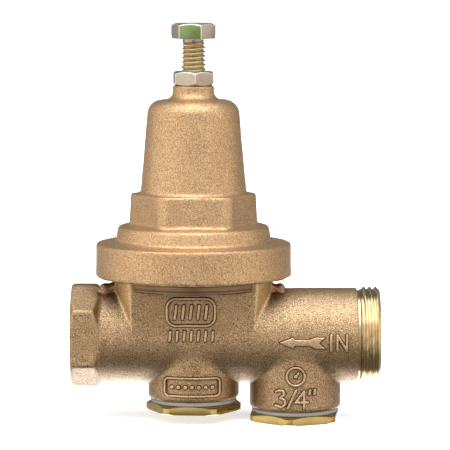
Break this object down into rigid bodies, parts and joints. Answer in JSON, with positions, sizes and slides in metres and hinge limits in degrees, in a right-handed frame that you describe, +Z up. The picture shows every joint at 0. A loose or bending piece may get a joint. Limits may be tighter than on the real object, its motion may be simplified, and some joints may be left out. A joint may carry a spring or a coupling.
{
  "type": "water pressure regulator",
  "caption": "Cast bronze pressure reducing valve for a water line: bell housing with adjusting screw and lock nut, female outlet, male union inlet, strainer and bottom plugs.",
  "frame": {"origin": "centre of the outlet port's face, on the waterway axis", "axes": "+X along the waterway from the outlet towards the inlet, +Z up the bell housing towards the adjusting screw, -Y the side with the flow arrow"},
  "size_m": [0.1143, 0.0724, 0.147],
  "materials": {
    "cast_bronze": "sand cast, as blasted, with machined faces",
    "bell_bronze": "sand cast, as blasted",
    "brass": "machined",
    "yellow_zinc": "yellow zinc dichromate plating",
    "spring_steel": "drawn wire",
    "stainless": "machined",
    "rubber": "moulded, matt",
    "fibre": "grey fibre",
    "acetal": "moulded"
  },
  "bodies": {
    "valve": {"valve_body": "cast_bronze", "bell_housing": "bell_bronze", "seat_ring": "stainless", "seat_o_ring": "rubber", "friction_ring": "acetal", "plunger_plug": "brass", "plunger_plug_washer": "fibre", "strainer_plug": "brass", "strainer_plug_washer": "fibre", "strainer_screen": "stainless", "strainer_end_rings": "acetal", "bypass_cage": "brass", "bypass_retainer": "brass", "bypass_spring": "spring_steel", "range_spring": "spring_steel", "diaphragm": "rubber"},
    "spring_seat": {"upper_spring_button": "yellow_zinc"},
    "screw": {"adjusting_screw": "yellow_zinc"},
    "nut": {"lock_nut": "yellow_zinc"},
    "stem_assembly": {"stem": "stainless", "stem_nut": "stainless", "diaphragm_plate": "brass", "diaphragm_washer": "brass", "plunger": "brass", "seat_disc": "rubber", "plunger_o_ring": "rubber"},
    "check_ball": {"bypass_ball": "stainless"}
  },
  "joints": [
    {"name": "screw_feed", "type": "slide", "parent": "valve", "child": "spring_seat", "axis": [0, 0, -1], "range_m": [-0.00317, 0.00953], "deforming": ["range_spring"]},
    {"name": "screw_turn", "type": "hinge", "parent": "spring_seat", "child": "screw", "pos_m": [0.0454, 0, 0.1], "axis": [0, 0, -1], "range_deg": [-721, 2161]},
    {"name": "lock_nut_turn", "type": "hinge", "parent": "valve", "child": "nut", "pos_m": [0.0454, 0, 0.095], "axis": [0, 0, 1], "range_deg": [0, 360]},
    {"name": "stem_lift", "type": "slide", "parent": "valve", "child": "stem_assembly", "axis": [0, 0, 1], "range_m": [0, 0.0025], "stiffness_N_per_m": 2000, "springref_m": -0.01, "deforming": ["range_spring", "diaphragm"]},
    {"name": "bypass_lift", "type": "slide", "parent": "valve", "child": "check_ball", "axis": [1, 0, 0], "range_m": [0, 0.002], "stiffness_N_per_m": 50, "springref_m": -0.004, "deforming": ["bypass_spring"]}
  ],
  "couplings": [
    {"joint": "screw_turn", "follows": "screw_feed", "rad_per_m": 3957.9}
  ]
}
